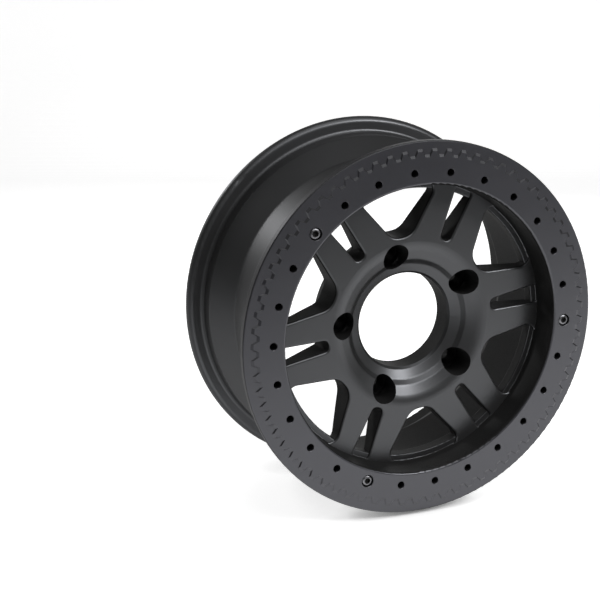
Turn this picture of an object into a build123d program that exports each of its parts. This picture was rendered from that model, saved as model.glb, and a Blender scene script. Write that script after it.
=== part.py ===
from build123d import *

import os
from math import atan2, cos, radians, sin, sqrt, tan

# Beadlock wheel: a cast twin-spoke rim, its bolt-on clamp ring and the three screws that hold the ring.
# Millimetres. The axle line is Y, the clamp ring faces -Y and +Z is up. The origin is the middle of the wheel.
# Depths run from the ring's front face towards the back of the rim.

# Rim contour
RIM_WIDTH = 177.8
BEAD_SEAT_R = 202.8
BEAD_SEAT_WIDTH = 18.0
BEAD_SEAT_TAPER = 5.0
FLANGE_HEIGHT = 19.2
FLANGE_THICKNESS = 12.0
FLANGE_FACE_WIDTH = 10.0
FLANGE_ROUND = 4.0
FLANGE_LIP_ROUND = 7.0
FLANGE_FOOT_ROUND = 5.0
WELL_DROP = 21.8
WELL_FRONT_RUN = 34.0
WELL_REAR_RUN = 35.8
WELL_ROUND = 8.0
BARREL_WALL = 7.0
CLAMP_GAP = 24.0
SHOULDER_RISE = 2.4
SHOULDER_WIDTH = 5.0
RIM_EDGE_ROUND = 1.5

# Ring bolt circle and front lip
BOLT_INSET = 19.8
LIP_INSET = 14.5
LIP_DRAFT = 1.5
LEDGE_WIDTH = 7.5
LEDGE_STEP = 2.0
LEDGE_THICKNESS = 14.0
LEDGE_ROUND = 1.2

# Spokes
SPOKE_PAIRS = 6
SLOT_PHASE = 7.6
SPOKE_SET_BACK = 23.5
SPOKE_RIM_THICKNESS = 12.0
SPOKE_HUB_THICKNESS = 39.0
SPOKE_ROOT = 6.0
SPOKE_EDGE_ROUND = 3.0
HUB_WEB_WIDTH = 7.0
SLOT_WIDTH = 12.2
SLOT_FLANK_ANGLE = 4.2
SLOT_END_ROUND = 5.4
SLOT_RIM_ROUND = 6.0
WINDOW_WIDTH = 23.4
WINDOW_FLANK_ANGLE = 35.4
WINDOW_END_ROUND = 19.0
WINDOW_RIM_ROUND = 12.0

# Hub
BORE_R = 57.15
BORE_CHAMFER = 2.6
CAP_SEAT_WIDTH = 10.25
CAP_SEAT_DROP = 5.5
STEP_WIDTH = 6.0
STEP_DROP = 5.5
STEP_ROUND = 9.0
DISH_WIDTH = 16.0
DISH_DROP = 8.5
DISH_ROUND = 26.0
HUB_ROUND = 2.0
BORE_BACK_RISE = 8.5
RECESS_WIDTH = 8.0
PAD_HEIGHT = 13.0

# Lug holes
LUG_COUNT = 5
LUG_PCD = 165.1
LUG_PHASE = 103.8
LUG_HOLE_R = 8.25
LUG_SEAT_R = 13.0
LUG_SEAT_ANGLE = 60.0
LUG_POCKET_R = 16.0
LUG_WEB = 25.0
PAD_MARGIN = 7.2

# Valve hole, bored at a slant from the lip into the drop centre
VALVE_HOLE_R = 5.75
VALVE_WALL = 6.0
VALVE_SPOT_R = 9.0
VALVE_SPOT_SINK = 2.0
VALVE_SLANT = 45.0
VALVE_WINDOW = 2

# Clamp ring
RING_THICKNESS = 11.0
RING_OVERHANG = 15.0
RING_INNER_ROUND = 3.0
RING_EDGE_ROUND = 1.5
TOOTH_COUNT = 72
TOOTH_INSET = 3.3
TOOTH_HEIGHT = 6.5
TOOTH_STEP = 1.5
TOOTH_SLOPE_WIDTH = 3.0
TOOTH_FLAT_SHARE = 0.32

# Ring bolts
BOLT_COUNT = 26
BOLT_PHASE = 95.57
BOLT_R = 4.0
BOLT_CLEARANCE = 0.25
BOLT_LEAD = 0.35
THREAD_CLEARANCE = 0.15
THREAD_SPARE = 9.0

# Screws that hold the ring
SCREW_HOLES = (7, 15, 23)
SCREW_HEAD_R = 7.0
SCREW_HEAD_HEIGHT = 4.4
SCREW_HEAD_ROUND = 3.6
SCREW_HEAD_SINK = 0.6
SCREW_HEAD_CLEARANCE = 0.25
SCREW_REACH = 18.0
SCREW_TIP_ROUND = 1.0
SOCKET_ACROSS_FLATS = 6.0
SOCKET_DEPTH = 3.0

# Largest share of a wall that its rounding may take
ROUND_SHARE = 0.9

# Sizes that follow
OVERALL_WIDTH = RING_THICKNESS + RIM_WIDTH + FLANGE_THICKNESS
FLANGE_R = BEAD_SEAT_R + FLANGE_HEIGHT
FLANGE_DEPTH = RING_THICKNESS + RIM_WIDTH
SEAT_SLOPE = tan(radians(BEAD_SEAT_TAPER))
SHOULDER_DEPTH = RING_THICKNESS + CLAMP_GAP
WELL_R = BEAD_SEAT_R - WELL_DROP
BARREL_INNER_R = WELL_R - BARREL_WALL
BOLT_CIRCLE_R = BEAD_SEAT_R - BOLT_INSET
LIP_R = BOLT_CIRCLE_R - LIP_INSET
LIP_BACK_R = LIP_R - LIP_DRAFT
LEDGE_R = LIP_BACK_R - LEDGE_WIDTH
SPOKE_FACE_DEPTH = RING_THICKNESS + SPOKE_SET_BACK
SPOKE_HUB_DEPTH = SPOKE_FACE_DEPTH + SPOKE_HUB_THICKNESS
BORE_BACK_DEPTH = SPOKE_HUB_DEPTH + BORE_BACK_RISE
PAD_DEPTH = BORE_BACK_DEPTH + PAD_HEIGHT
LEDGE_DEPTH = SPOKE_FACE_DEPTH + LEDGE_STEP
LEDGE_BACK_DEPTH = LEDGE_DEPTH + LEDGE_THICKNESS
SPOKE_ROOT_R = LIP_R + SPOKE_ROOT
PAD_R = LUG_PCD / 2 + LUG_HOLE_R + PAD_MARGIN
OPENING_INNER_R = PAD_R + HUB_WEB_WIDTH
OPENING_OUTER_R = LIP_BACK_R + SPOKE_ROOT / 4
PITCH = 360 / SPOKE_PAIRS
RING_OUTER_R = BEAD_SEAT_R + RING_OVERHANG
RING_BAND = RING_THICKNESS - TOOTH_STEP
SCREW_SEAT_DEPTH = SCREW_HEAD_SINK + SCREW_HEAD_HEIGHT


def axial(depth):
    """Y of a depth behind the ring's front face."""
    return depth - OVERALL_WIDTH / 2


def turned(corners, axis_r=0.0):
    """Solid turned about a line parallel to the axle, from (radius, depth, corner rounding) rows."""
    points = [(axis_r + radius, axial(depth)) for radius, depth, _ in corners]
    rounds = [rounding for _, _, rounding in corners]
    section = make_face(FilletPolyline(*points, radius=rounds, close=True))
    return revolve(section, Axis((axis_r, 0, 0), (0, 1, 0)))


def front_plane(depth):
    """Front-view plane at a depth, with x along X, y along Z and its normal to the front."""
    return Plane(origin=(0, axial(depth), 0), x_dir=(1, 0, 0), z_dir=(0, -1, 0))


def prism(outline, front_depth, back_depth):
    """Front-view outline carried from one depth to another."""
    return extrude(front_plane(back_depth) * outline, amount=back_depth - front_depth)


def spin(shape, angle):
    """Shape turned about the axle line, counter-clockwise in the front view."""
    return Rotation(0, -angle, 0) * shape


def bolt_angle(index):
    """Front-view angle of a ring bolt hole."""
    return BOLT_PHASE - index * 360 / BOLT_COUNT


def bolt_holes(radius, front_depth, back_depth, indices):
    """Hole tools on the ring's bolt circle, each with a bevelled mouth."""
    hole = turned(
        [
            (0, front_depth, 0),
            (radius + BOLT_LEAD, front_depth, 0),
            (radius, front_depth + BOLT_LEAD, 0),
            (radius, back_depth, 0),
            (0, back_depth, 0),
        ],
        BOLT_CIRCLE_R,
    )
    return [spin(hole, bolt_angle(index)) for index in indices]


def spoke_opening(width, flank_angle, end_round, rim_round):
    """Tool for a gap between spokes: an inner end, two flanks that open outwards and an arc at the rim."""
    slope = tan(radians(flank_angle))
    offset = width / 2 - OPENING_INNER_R * slope
    square = 1 + slope**2
    outer_x = (sqrt(square * OPENING_OUTER_R**2 - offset**2) - slope * offset) / square
    outer_y = offset + slope * outer_x
    flanks = Polyline(
        (outer_x, outer_y),
        (OPENING_INNER_R, width / 2),
        (OPENING_INNER_R, -width / 2),
        (outer_x, -outer_y),
    )
    rim_arc = ThreePointArc((outer_x, -outer_y), (OPENING_OUTER_R, 0), (outer_x, outer_y))
    outline = make_face(flanks + rim_arc)
    end_limit = ROUND_SHARE * width / 2 / tan(radians(90 - flank_angle) / 2)
    outline = fillet(outline.vertices().sort_by(Axis.X)[:2], min(end_round, end_limit))
    outline = fillet(outline.vertices().sort_by(Axis.X)[-2:], rim_round)
    return prism(outline, 0, OVERALL_WIDTH)


def rim():
    """Barrel from the ring's seat over the drop centre to the rear flange."""
    seat_end_depth = FLANGE_DEPTH - BEAD_SEAT_WIDTH
    seat_end_r = BEAD_SEAT_R - BEAD_SEAT_WIDTH * SEAT_SLOPE
    shoulder_r = BEAD_SEAT_R + SHOULDER_RISE
    shoulder_end = SHOULDER_DEPTH + SHOULDER_WIDTH
    well_rear_depth = seat_end_depth - WELL_REAR_RUN
    lip_round = min(FLANGE_LIP_ROUND, ROUND_SHARE * (FLANGE_THICKNESS - FLANGE_ROUND))
    wall_lean = BARREL_WALL * tan(atan2(seat_end_r - WELL_R, WELL_REAR_RUN) / 2)
    return turned(
        [
            (LIP_R, RING_THICKNESS, 0),
            (BEAD_SEAT_R, RING_THICKNESS, RIM_EDGE_ROUND),
            (BEAD_SEAT_R - CLAMP_GAP * SEAT_SLOPE, SHOULDER_DEPTH, RIM_EDGE_ROUND),
            (shoulder_r, SHOULDER_DEPTH, RIM_EDGE_ROUND),
            (shoulder_r, shoulder_end, RIM_EDGE_ROUND),
            (WELL_R, shoulder_end + WELL_FRONT_RUN, WELL_ROUND),
            (WELL_R, well_rear_depth, WELL_ROUND),
            (seat_end_r, seat_end_depth, FLANGE_ROUND),
            (BEAD_SEAT_R, FLANGE_DEPTH, FLANGE_FOOT_ROUND),
            (FLANGE_R, FLANGE_DEPTH, lip_round),
            (FLANGE_R, OVERALL_WIDTH, FLANGE_ROUND),
            (FLANGE_R - FLANGE_FACE_WIDTH, OVERALL_WIDTH, RIM_EDGE_ROUND),
            (BEAD_SEAT_R - BARREL_WALL, FLANGE_DEPTH + BARREL_WALL, FLANGE_ROUND),
            (seat_end_r - BARREL_WALL, seat_end_depth + wall_lean, WELL_ROUND),
            (BARREL_INNER_R, well_rear_depth + wall_lean, WELL_ROUND),
            (BARREL_INNER_R, LEDGE_BACK_DEPTH + BARREL_INNER_R - LEDGE_R, WELL_ROUND),
            (LEDGE_R, LEDGE_BACK_DEPTH, FLANGE_ROUND),
            (LEDGE_R, LEDGE_DEPTH, LEDGE_ROUND),
            (LIP_BACK_R, LEDGE_DEPTH, LEDGE_ROUND),
        ]
    )


def spoke_disc():
    """Dished hub and twin spokes that run into the lip, with a raised mounting pad behind."""
    cap_seat_r = BORE_R + BORE_CHAMFER
    step_foot_r = cap_seat_r + CAP_SEAT_WIDTH
    dish_foot_r = step_foot_r + STEP_WIDTH
    dish_foot_depth = SPOKE_FACE_DEPTH + DISH_DROP
    step_foot_depth = dish_foot_depth + STEP_DROP
    bore_depth = step_foot_depth + CAP_SEAT_DROP
    blank = turned(
        [
            (BORE_R, bore_depth + BORE_CHAMFER, 0),
            (cap_seat_r, bore_depth, HUB_ROUND / 2),
            (step_foot_r, step_foot_depth, STEP_ROUND),
            (dish_foot_r, dish_foot_depth, STEP_ROUND),
            (dish_foot_r + DISH_WIDTH, SPOKE_FACE_DEPTH, DISH_ROUND),
            (SPOKE_ROOT_R, SPOKE_FACE_DEPTH, 0),
            (SPOKE_ROOT_R, SPOKE_FACE_DEPTH + SPOKE_RIM_THICKNESS, 0),
            (OPENING_INNER_R, SPOKE_HUB_DEPTH, HUB_ROUND),
            (PAD_R, PAD_DEPTH, HUB_ROUND),
            (BORE_R + RECESS_WIDTH, PAD_DEPTH, HUB_ROUND / 2),
            (BORE_R + RECESS_WIDTH, BORE_BACK_DEPTH, HUB_ROUND),
            (BORE_R, BORE_BACK_DEPTH, 0),
        ]
    )
    slot = spoke_opening(SLOT_WIDTH, SLOT_FLANK_ANGLE, SLOT_END_ROUND, SLOT_RIM_ROUND)
    window = spoke_opening(WINDOW_WIDTH, WINDOW_FLANK_ANGLE, WINDOW_END_ROUND, WINDOW_RIM_ROUND)
    openings = []
    for pair in range(SPOKE_PAIRS):
        openings.append(spin(slot, SLOT_PHASE + pair * PITCH))
        openings.append(spin(window, SLOT_PHASE + (pair + 0.5) * PITCH))
    disc = blank - openings
    return fillet(new_edges(blank, *openings, combined=disc), SPOKE_EDGE_ROUND)


def lug_tools():
    """Lug pockets with their tapered nut seats and stud holes."""
    web_depth = PAD_DEPTH - LUG_WEB
    seat_depth = web_depth + (LUG_SEAT_R - LUG_HOLE_R) / tan(radians(LUG_SEAT_ANGLE / 2))
    tool = turned(
        [
            (0, 0, 0),
            (LUG_POCKET_R, 0, 0),
            (LUG_POCKET_R, web_depth, HUB_ROUND),
            (LUG_SEAT_R, web_depth, 0),
            (LUG_HOLE_R, seat_depth, 0),
            (LUG_HOLE_R, OVERALL_WIDTH, 0),
            (0, OVERALL_WIDTH, 0),
        ],
        LUG_PCD / 2,
    )
    return [spin(tool, LUG_PHASE + 360 / LUG_COUNT * lug) for lug in range(LUG_COUNT)]


def valve_tools():
    """Slanted valve hole with a spot face at the lip and a wider bore from the drop centre."""
    slant = radians(VALVE_SLANT)
    corner = (LIP_BACK_R, axial(LEDGE_DEPTH), 0)
    mouth = Plane(origin=corner, x_dir=(0, 0, 1), z_dir=(cos(slant), sin(slant), 0))
    seat = mouth.offset(VALVE_SPOT_SINK)
    throat = seat.offset(VALVE_WALL)
    angle = SLOT_PHASE + (VALVE_WINDOW + 0.5) * PITCH
    tools = [
        extrude(seat * Circle(VALVE_SPOT_R), amount=-LEDGE_THICKNESS),
        extrude(seat * Circle(VALVE_HOLE_R), amount=VALVE_WALL),
        extrude(throat * Circle(VALVE_SPOT_R), amount=BEAD_SEAT_R - LEDGE_R),
    ]
    return [spin(tool, angle) for tool in tools]


def wheel_casting():
    """Rim, spokes and hub in one casting, with every hole that is bored in it."""
    casting = rim() + spoke_disc()
    tapped_end = RING_THICKNESS + SCREW_REACH + THREAD_SPARE
    tapped = bolt_holes(BOLT_R + THREAD_CLEARANCE, RING_THICKNESS, tapped_end, range(BOLT_COUNT))
    return casting - lug_tools() - tapped - valve_tools()


def serrated(grow, depth):
    """Front-view outline of the ring's raised face: a zigzag with narrow flats at its roots and tips."""
    pitch = 360 / TOOTH_COUNT
    root_r = BEAD_SEAT_R - TOOTH_INSET + grow
    tip_r = root_r + TOOTH_HEIGHT
    points = []
    for tooth in range(TOOTH_COUNT):
        for share, radius in ((0, root_r), (0.5, tip_r)):
            for turn in (share, share + TOOTH_FLAT_SHARE):
                angle = radians((tooth + turn) * pitch)
                points.append((radius * cos(angle), radius * sin(angle)))
    return front_plane(depth) * make_face(Polyline(*points, close=True))


def beadlock_ring():
    """Clamp ring with a raised serrated face, a rounded inner edge and a row of bolt holes."""
    edge_round = min(RING_EDGE_ROUND, ROUND_SHARE * RING_BAND / 2)
    ring = turned(
        [
            (LIP_R, TOOTH_STEP, 0),
            (RING_OUTER_R, TOOTH_STEP, edge_round),
            (RING_OUTER_R, RING_THICKNESS, edge_round),
            (LIP_R, RING_THICKNESS, 0),
        ]
    )
    raised = loft([serrated(TOOTH_SLOPE_WIDTH, TOOTH_STEP), serrated(0, 0)], ruled=True)
    ring += raised - prism(Circle(LIP_R), 0, RING_THICKNESS)
    inner_edge = ring.edges().filter_by(GeomType.CIRCLE).sort_by(Axis.Y)[0]
    ring = fillet(inner_edge, min(RING_INNER_ROUND, RING_BAND))
    ring -= bolt_holes(BOLT_R + BOLT_CLEARANCE, 0, RING_THICKNESS, range(BOLT_COUNT))
    return ring - bolt_holes(SCREW_HEAD_R + SCREW_HEAD_CLEARANCE, 0, SCREW_SEAT_DEPTH, SCREW_HOLES)


def ring_screw(index):
    """Button-head socket screw, sunk in the ring and threaded into the casting."""
    tip_depth = RING_THICKNESS + SCREW_REACH
    head_round = min(SCREW_HEAD_ROUND, ROUND_SHARE * SCREW_HEAD_HEIGHT)
    screw = turned(
        [
            (0, SCREW_HEAD_SINK, 0),
            (SCREW_HEAD_R, SCREW_HEAD_SINK, head_round),
            (SCREW_HEAD_R, SCREW_SEAT_DEPTH, 0),
            (BOLT_R, SCREW_SEAT_DEPTH, 0),
            (BOLT_R, tip_depth, SCREW_TIP_ROUND),
            (0, tip_depth, 0),
        ],
        BOLT_CIRCLE_R,
    )
    hexagon = RegularPolygon(SOCKET_ACROSS_FLATS / 2, 6, major_radius=False)
    socket = prism(Pos(BOLT_CIRCLE_R, 0) * hexagon, SCREW_HEAD_SINK, SCREW_HEAD_SINK + SOCKET_DEPTH)
    return spin(screw - socket, bolt_angle(index))


os.makedirs("parts", exist_ok=True)
export_step(wheel_casting(), "parts/wheel_casting.step")
export_step(beadlock_ring(), "parts/beadlock_ring.step")
for number, hole in enumerate(SCREW_HOLES, 1):
    export_step(ring_screw(hole), f"parts/ring_screw_{number}.step")
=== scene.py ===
import bpy
import numpy as np
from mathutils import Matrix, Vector

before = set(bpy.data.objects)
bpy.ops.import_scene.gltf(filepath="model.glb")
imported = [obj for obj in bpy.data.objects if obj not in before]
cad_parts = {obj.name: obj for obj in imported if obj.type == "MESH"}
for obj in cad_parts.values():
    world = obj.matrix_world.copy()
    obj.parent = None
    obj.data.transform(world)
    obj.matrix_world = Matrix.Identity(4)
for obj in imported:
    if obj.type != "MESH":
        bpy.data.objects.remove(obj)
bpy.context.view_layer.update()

# The camera, and the floor that the wheel stands on. Lengths are metres unless a name gives another unit.
EYE = Vector((-0.64652, -1.34389, 0.41489))
SIGHT = Vector((0.356511, 0.897197, -0.260648))
LENS_MM = 77.269
SENSOR_MM = 36.0
FLOOR_Z = -0.222
AWAY = SIGHT.xy.normalized()

# Where the painted shade and the turned finish change: the rim's inner wall, the hub's front edge, and half
# the width of a change.
RIM_WALL_R = 0.1775
HUB_FRONT_Y = -0.044
SOFT_EDGE = 0.002
ACROSS_AXLE = (1.0, 0.0, 1.0)

# Parts of a surface's normal at which the painted shade, or the turned finish, begins (0) and is complete
# (1).
ALONG_AXLE = (0.8, 0.5)
NOT_BACKWARD = (0.7, 0.4)
FACING_OUT = (0.4, 0.7)
FACING_AXLE = (-0.55, -0.8)
RISE_BAND = 0.15

# Patterns of the finishes, in noise cells per metre, and what each adds to the bump and to the roughness.
PEEL_SCALE = 520.0
WAVE_SCALE = 60.0
MOTTLE_SCALE = 14.0
SCRATCH_SCALE = 900.0
PEEL_IN_BUMP = 0.35
WAVE_IN_BUMP = 0.65
COAT_RELIEF = 0.0006
SCRATCH_RELIEF = 0.0002
MOTTLE_ROUGHNESS = 0.08
PEEL_ROUGHNESS = 0.06
TURNED_ROUGHNESS = 0.12
PAINTED_SHADE_ROUGHNESS = 0.65
PAINTED_SHADE_PEEL_ROUGHNESS = 0.15
PLATING_ROUGHNESS = 0.28
SCRATCH_ROUGHNESS = 0.14

# The grey of the painted shade in recesses and in screw sockets, and the radii at which a socket's painted
# shade begins and is complete.
NEARLY_BLACK = 0.008
SOCKET_EDGE = (0.0040, 0.0034)

# The studio board's form: a floor, a quarter circle and a wall, seen along the line of sight.
BOARD_FRONT = -6.0
WALL_FOOT = 2.2
SWEEP_R = 0.3
SWEEP_STEPS = 24
WALL_TOP = 1.6
BOARD_HALF_WIDTH = 6.0
BOARD_COLUMNS = 9

# Where the board fades from grey (0) to white (1): along the line of sight, in height and to either side.
FADE_AWAY = (-1.2, -0.3)
FADE_HEIGHT = (0.7, 0.3)
FADE_ASIDE = (4.5, 2.0)

# The board's paint and lift, how far the painted contact shadow reaches where the wheel stands, and the light
# of the air.
FAR_GREY = 0.09
BOARD_PAINT = 0.62
BOARD_GLOW = 0.8
CONTACT_REACH = 0.035
CONTACT_SAMPLES = 6
AIR_STRENGTH = 0.1

# Lamps, with sizes in metres and powers in watts.
LAMPS = {
    "key_lamp": {"place": (0.85, -1.20, 0.95), "target": (0, -0.06, 0), "size": 0.42, "power": 12.0},
    "top_lamp": {"place": (0.1, -0.85, 1.5), "target": (0, 0, 0), "size": 1.5, "power": 21.0},
    "back_lamp": {"place": (-0.92, 1.44, 0.88), "target": (0, 0, 0), "size": 0.42, "power": 13.0},
    "rear_fill": {"place": (1.0, 1.5, 0.6), "target": (0, 0, 0), "size": 1.0, "power": 6.0},
}


class Value:
    """A node output that adds Math nodes when it is used in a Python expression."""

    def __init__(self, finish, socket):
        self.finish = finish
        self.socket = socket

    def maths(self, operation, first, second):
        return self.finish.node("ShaderNodeMath", {"operation": operation}, {0: first, 1: second})

    def __add__(self, other):
        return self.maths("ADD", self, other)

    __radd__ = __add__

    def __rsub__(self, other):
        return self.maths("SUBTRACT", other, self)

    def __mul__(self, other):
        return self.maths("MULTIPLY", self, other)

    __rmul__ = __mul__

    def __truediv__(self, other):
        return self.maths("DIVIDE", self, other)

    def __abs__(self):
        return self.maths("ABSOLUTE", self, 0.0)

    def over(self, other):
        """The larger of two values."""
        return self.maths("MAXIMUM", self, other)

    def step(self, low, high):
        """Smooth step from 0 at low to 1 at high, where low may be the larger number."""
        limits = {"Value": self, "From Min": low, "From Max": high}
        return self.finish.node("ShaderNodeMapRange", {"interpolation_type": "SMOOTHSTEP"}, limits)


class Finish:
    """A node tree of a material or of the world, filled node by node."""

    def __init__(self, owner):
        owner.use_nodes = True
        self.owner = owner
        self.tree = owner.node_tree
        self.tree.nodes.clear()

    def node(self, kind, settings, inputs, output=0):
        """Adds one node: its settings are set first, then its sockets. Gives the named output as a Value."""
        made = self.tree.nodes.new(kind)
        for key, value in settings.items():
            setattr(made, key, value)
        for key, value in inputs.items():
            if isinstance(value, Value):
                self.tree.links.new(value.socket, made.inputs[key])
            else:
                made.inputs[key].default_value = value
        return Value(self, made.outputs[output]) if len(made.outputs) else made


def grey(level):
    """Colour with the same level of red, green and blue."""
    return (level, level, level, 1.0)


def blend(finish, share, first, second):
    """Colour from the first at share 0 to the second at share 1. 6, 7 and 2 are the colour sockets."""
    return finish.node("ShaderNodeMix", {"data_type": "RGBA"}, {"Factor": share, 6: first, 7: second}, 2)


def from_axis(finish, place):
    """Offset of a place from the axis along Y, which is the place without its Y, and the offset's length."""
    across = finish.node("ShaderNodeVectorMath", {"operation": "MULTIPLY"}, {0: place, 1: ACROSS_AXLE})
    return across, finish.node("ShaderNodeVectorMath", {"operation": "LENGTH"}, {0: across}, "Value")


def wheel_zones(finish, place, turned_from, turned_rise, turned_shade_share):
    """Shares of painted shade and of turned finish, each from 0 to 1.

    Painted shade, a darker and duller skin where shade falls: inside the rim, walls that run along the axle
    and whatever lies behind the hub's front edge, apart from what faces backward. Anywhere, what faces the
    axle.
    Turned surfaces take it by their shade share. Turned: outside the rim's inner wall, what faces away from
    the axle, and from a lower limit on if it also faces up by a least rise. A least rise below -1 leaves
    nothing out.
    With a least rise above 0, as on the ring, this puts painted shade on upward-facing faces to tone down
    their highlights.
    """
    normal = finish.node("ShaderNodeTexCoord", {}, {}, "Normal")
    across, radius = from_axis(finish, place)
    lean = finish.node("ShaderNodeVectorMath", {"operation": "DOT_PRODUCT"}, {0: normal, 1: across}, "Value")
    outward = lean / radius
    backward = finish.node("ShaderNodeSeparateXYZ", {}, {0: normal}, "Y")
    rise = finish.node("ShaderNodeSeparateXYZ", {}, {0: normal}, "Z")
    depth = finish.node("ShaderNodeSeparateXYZ", {}, {0: place}, "Y")
    behind = depth.step(HUB_FRONT_Y, HUB_FRONT_Y + 2 * SOFT_EDGE)
    inside = radius.step(RIM_WALL_R + SOFT_EDGE, RIM_WALL_R - SOFT_EDGE)
    # Painted shade on walls inside the rim and on what lies behind the hub's front edge, where shade falls.
    walls = inside * abs(backward).step(*ALONG_AXLE).over(behind) * backward.step(*NOT_BACKWARD)
    # Painted shade on turned faces that face up by the least rise. On the ring it tones down the highlights
    # of its upward-facing faces.
    facing_up = outward.step(turned_from, 2 * turned_from) * rise.step(turned_rise, turned_rise + RISE_BAND)
    turned = (1 - inside) * outward.step(*FACING_OUT).over(facing_up)
    # Painted shade also on what faces the axle, and on turned faces by their shade share.
    thin = walls.over(outward.step(*FACING_AXLE)).over(turned * turned_shade_share)
    return thin, turned


def powder_coat(name, colour, dusted, sheen, gloss, index, turned_from, turned_rise, turned_shade_share):
    """Matt black powder coat with orange peel and waviness in the bump, mixed with painted shade, a darker
    and duller skin, in recesses and on turned faces.

    Its colour goes from colour to dusted with the mottling. Its roughness is gloss plus a part of the
    mottling, of the peel and of what is turned.
    """
    finish = Finish(bpy.data.materials.new(name))
    place = finish.node("ShaderNodeTexCoord", {}, {}, "Object")
    thin_share, turned_share = wheel_zones(finish, place, turned_from, turned_rise, turned_shade_share)
    peel = finish.node("ShaderNodeTexNoise", {}, {"Vector": place, "Scale": PEEL_SCALE, "Detail": 2.0})
    waves = finish.node("ShaderNodeTexNoise", {}, {"Vector": place, "Scale": WAVE_SCALE, "Detail": 3.0})
    clouds = {"Vector": place, "Scale": MOTTLE_SCALE, "Detail": 4.0, "Roughness": 0.6}
    mottle = finish.node("ShaderNodeTexNoise", {}, clouds)
    height = peel * PEEL_IN_BUMP + waves * WAVE_IN_BUMP
    relief = {"Strength": 0.12, "Distance": COAT_RELIEF, "Height": height}
    bump = finish.node("ShaderNodeBump", {}, relief, "Normal")
    dullness = mottle * MOTTLE_ROUGHNESS + peel * PEEL_ROUGHNESS + turned_share * TURNED_ROUGHNESS
    coat = finish.node(
        "ShaderNodeBsdfPrincipled",
        {},
        {
            "Base Color": blend(finish, mottle, colour, dusted),
            "Roughness": gloss + dullness,
            "Normal": bump,
            "IOR": index,
            "Specular IOR Level": 0.68,
            "Specular Tint": sheen,
        },
    )
    # Painted shade: a nearly black, dull skin with little sheen that stands in for the shade in recesses.
    thin = finish.node(
        "ShaderNodeBsdfPrincipled",
        {},
        {
            "Base Color": grey(NEARLY_BLACK),
            "Roughness": PAINTED_SHADE_ROUGHNESS + peel * PAINTED_SHADE_PEEL_ROUGHNESS,
            "Normal": bump,
            "Specular IOR Level": 0.18,
        },
    )
    skin = finish.node("ShaderNodeMixShader", {}, {0: thin_share, 1: coat, 2: thin})
    finish.node("ShaderNodeOutputMaterial", {}, {"Surface": skin})
    return finish.owner


def plated_steel(name, axis):
    """Zinc-plated steel with fine scratches, and painted shade within a small radius of the screw's axis,
    where its socket lies.
    """
    finish = Finish(bpy.data.materials.new(name))
    place = finish.node("ShaderNodeTexCoord", {}, {}, "Object")
    grain = finish.node("ShaderNodeTexNoise", {}, {"Vector": place, "Scale": SCRATCH_SCALE, "Detail": 3.0})
    relief = {"Strength": 0.1, "Distance": SCRATCH_RELIEF, "Height": grain}
    bump = finish.node("ShaderNodeBump", {}, relief, "Normal")
    offset = finish.node("ShaderNodeVectorMath", {"operation": "SUBTRACT"}, {0: place, 1: axis})
    _, radius = from_axis(finish, offset)
    steel = finish.node(
        "ShaderNodeBsdfPrincipled",
        {},
        {
            "Base Color": (0.20, 0.20, 0.21, 1.0),
            "Metallic": 1.0,
            "Roughness": PLATING_ROUGHNESS + grain * SCRATCH_ROUGHNESS,
            "Normal": bump,
        },
    )
    # Painted shade in the socket: a nearly black, rough disc around the screw's axis.
    socket_shade = finish.node("ShaderNodeBsdfPrincipled", {}, {"Base Color": grey(NEARLY_BLACK), "Roughness": 0.85})
    skin = finish.node("ShaderNodeMixShader", {}, {0: radius.step(*SOCKET_EDGE), 1: steel, 2: socket_shade})
    finish.node("ShaderNodeOutputMaterial", {}, {"Surface": skin})
    return finish.owner


def middle(node):
    """Middle of a node's bounding box, which lies on the axis of a turned piece."""
    corners = np.array(node.bound_box)
    return tuple((corners.min(0) + corners.max(0)) / 2)


def studio_board(name):
    """White studio board that fades to grey far in front of the wheel, far aside and high up.

    Its whiteness is the product of the three fades. It is lifted towards white where the camera or a
    reflection sees it, with the wheel's shadow left in it, and darkened where the wheel all but touches it, a
    painted contact shadow.
    """
    finish = Finish(bpy.data.materials.new(name))
    place = finish.node("ShaderNodeTexCoord", {}, {}, "Object")
    ahead = {0: place, 1: (AWAY.x, AWAY.y, 0.0)}
    sideways = {0: place, 1: (AWAY.y, -AWAY.x, 0.0)}
    away = finish.node("ShaderNodeVectorMath", {"operation": "DOT_PRODUCT"}, ahead, "Value")
    aside = finish.node("ShaderNodeVectorMath", {"operation": "DOT_PRODUCT"}, sideways, "Value")
    height = finish.node("ShaderNodeSeparateXYZ", {}, {0: place}, "Z")
    white = away.step(*FADE_AWAY) * height.step(*FADE_HEIGHT) * abs(aside).step(*FADE_ASIDE)
    paint = blend(finish, white, grey(FAR_GREY), grey(BOARD_PAINT))
    clear = blend(finish, white, grey(FAR_GREY), grey(BOARD_GLOW))
    # Painted contact shadow: ambient occlusion near the wheel takes light off the board's lift.
    contact = {"samples": CONTACT_SAMPLES}
    painted_contact_shadow = finish.node("ShaderNodeAmbientOcclusion", contact, {"Distance": CONTACT_REACH}, "AO")
    lift_with_painted_shadow = blend(finish, painted_contact_shadow, grey(0.0), clear)
    straight = finish.node("ShaderNodeLightPath", {}, {}, "Is Camera Ray")
    glossy = finish.node("ShaderNodeLightPath", {}, {}, "Is Glossy Ray")
    through = finish.node("ShaderNodeLightPath", {}, {}, "Is Transmission Ray")
    board = finish.node("ShaderNodeBsdfDiffuse", {}, {"Color": paint})
    lift = finish.node("ShaderNodeEmission", {}, {"Color": lift_with_painted_shadow, "Strength": 1.0})
    lit = finish.node("ShaderNodeAddShader", {}, {0: board, 1: lift})
    seen = finish.node("ShaderNodeMixShader", {}, {0: straight + glossy + through, 1: board, 2: lit})
    finish.node("ShaderNodeOutputMaterial", {}, {"Surface": seen})
    return finish.owner


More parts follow.
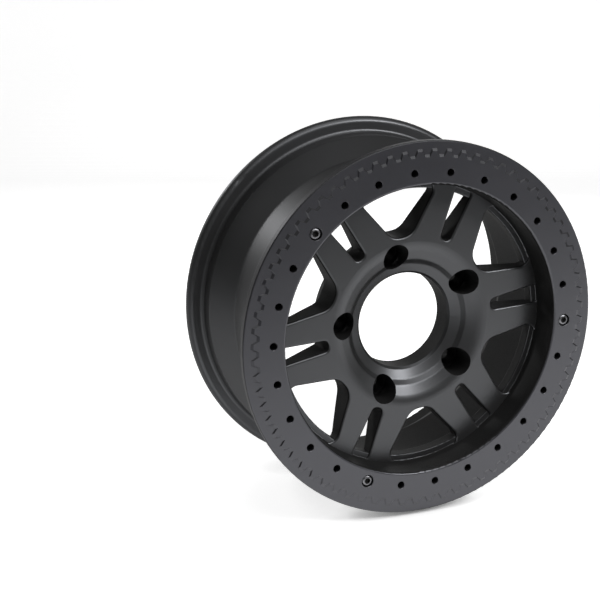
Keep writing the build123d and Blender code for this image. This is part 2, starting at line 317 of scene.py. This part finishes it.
def new_mesh(name, points, quads):
    """Object at the origin with the given points and four-cornered faces."""
    mesh = bpy.data.meshes.new(name)
    mesh.from_pydata(points.tolist(), [], quads.tolist())
    thing = bpy.data.objects.new(name, mesh)
    bpy.context.scene.collection.objects.link(thing)
    return thing


def grid_quads(rows, columns):
    """Faces of a grid of points. Each joins a point, the next in its row and the same two of the next row."""
    corner = np.arange((rows - 1) * columns).reshape(rows - 1, columns)[:, : columns - 1].ravel()
    return np.stack([corner, corner + 1, corner + columns + 1, corner + columns], 1)


def floor_sweep():
    """Floor that curves up into a back wall, square to the camera.

    Its profile is a straight run, a quarter circle and a second run, carried across the line of sight.
    """
    turn = np.linspace(0, np.pi / 2, SWEEP_STEPS)
    away = np.concatenate([[BOARD_FRONT], WALL_FOOT + SWEEP_R * np.sin(turn), [WALL_FOOT + SWEEP_R]])
    z = np.concatenate([[0], SWEEP_R - SWEEP_R * np.cos(turn), [WALL_TOP]]) + FLOOR_Z
    side = np.linspace(-BOARD_HALF_WIDTH, BOARD_HALF_WIDTH, BOARD_COLUMNS)
    x = away[:, None] * AWAY.x + side * AWAY.y
    y = away[:, None] * AWAY.y - side * AWAY.x
    points = np.stack(np.broadcast_arrays(x, y, z[:, None]), -1).reshape(-1, 3)
    return new_mesh("studio_floor", points, grid_quads(len(away), len(side)))


def soft_lamp(name, place, target, size, power):
    """Round area lamp, as wide as size, that faces its target."""
    lamp = bpy.data.lights.new(name, "AREA")
    lamp.shape = "DISK"
    lamp.size = size
    lamp.energy = power
    thing = bpy.data.objects.new(name, lamp)
    bpy.context.scene.collection.objects.link(thing)
    thing.location = place
    thing.rotation_euler = (Vector(target) - Vector(place)).to_track_quat("-Z", "Y").to_euler()


def studio_world():
    """Even grey air all round."""
    world = bpy.data.worlds.new("studio")
    bpy.context.scene.world = world
    finish = Finish(world)
    air = finish.node("ShaderNodeBackground", {}, {"Color": grey(1.0), "Strength": AIR_STRENGTH})
    finish.node("ShaderNodeOutputWorld", {}, {"Surface": air})


def set_camera():
    """Camera at the eye, looking along the line of sight."""
    camera = bpy.data.objects.new("camera", bpy.data.cameras.new("camera"))
    bpy.context.scene.collection.objects.link(camera)
    camera.data.sensor_width = SENSOR_MM
    camera.data.lens = LENS_MM
    camera.location = EYE
    camera.rotation_euler = SIGHT.to_track_quat("-Z", "Y").to_euler()
    bpy.context.scene.camera = camera


casting_coat = powder_coat(
    "casting_coat",
    colour=grey(0.014),
    dusted=grey(0.018),
    sheen=(0.93, 0.95, 1.0, 1.0),
    gloss=0.28,
    index=1.6,
    # Turned faces of the casting take this share of the darker, duller painted-shade skin.
    turned_from=0.3,
    turned_rise=-1.5,
    turned_shade_share=0.45,
)
ring_coat = powder_coat(
    "ring_coat",
    colour=(0.013, 0.013, 0.016, 1.0),
    dusted=(0.017, 0.017, 0.020, 1.0),
    sheen=(0.93, 0.935, 1.0, 1.0),
    gloss=0.26,
    index=1.64,
    # The ring's upward-facing turned faces take painted shade, a darker top that tones down their highlights.
    turned_from=0.12,
    turned_rise=0.1,
    turned_shade_share=0.7,
)
for name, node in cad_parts.items():
    if name == "wheel_casting":
        skin = casting_coat
    elif name == "beadlock_ring":
        skin = ring_coat
    else:
        skin = plated_steel(name + "_plating", middle(node))
    for slot in node.material_slots:
        slot.material = skin

floor = floor_sweep()
floor.data.materials.append(studio_board("studio_board"))

studio_world()
for name, lamp in LAMPS.items():
    soft_lamp(name, **lamp)
set_camera()
bpy.context.scene.view_settings.view_transform = "Standard"
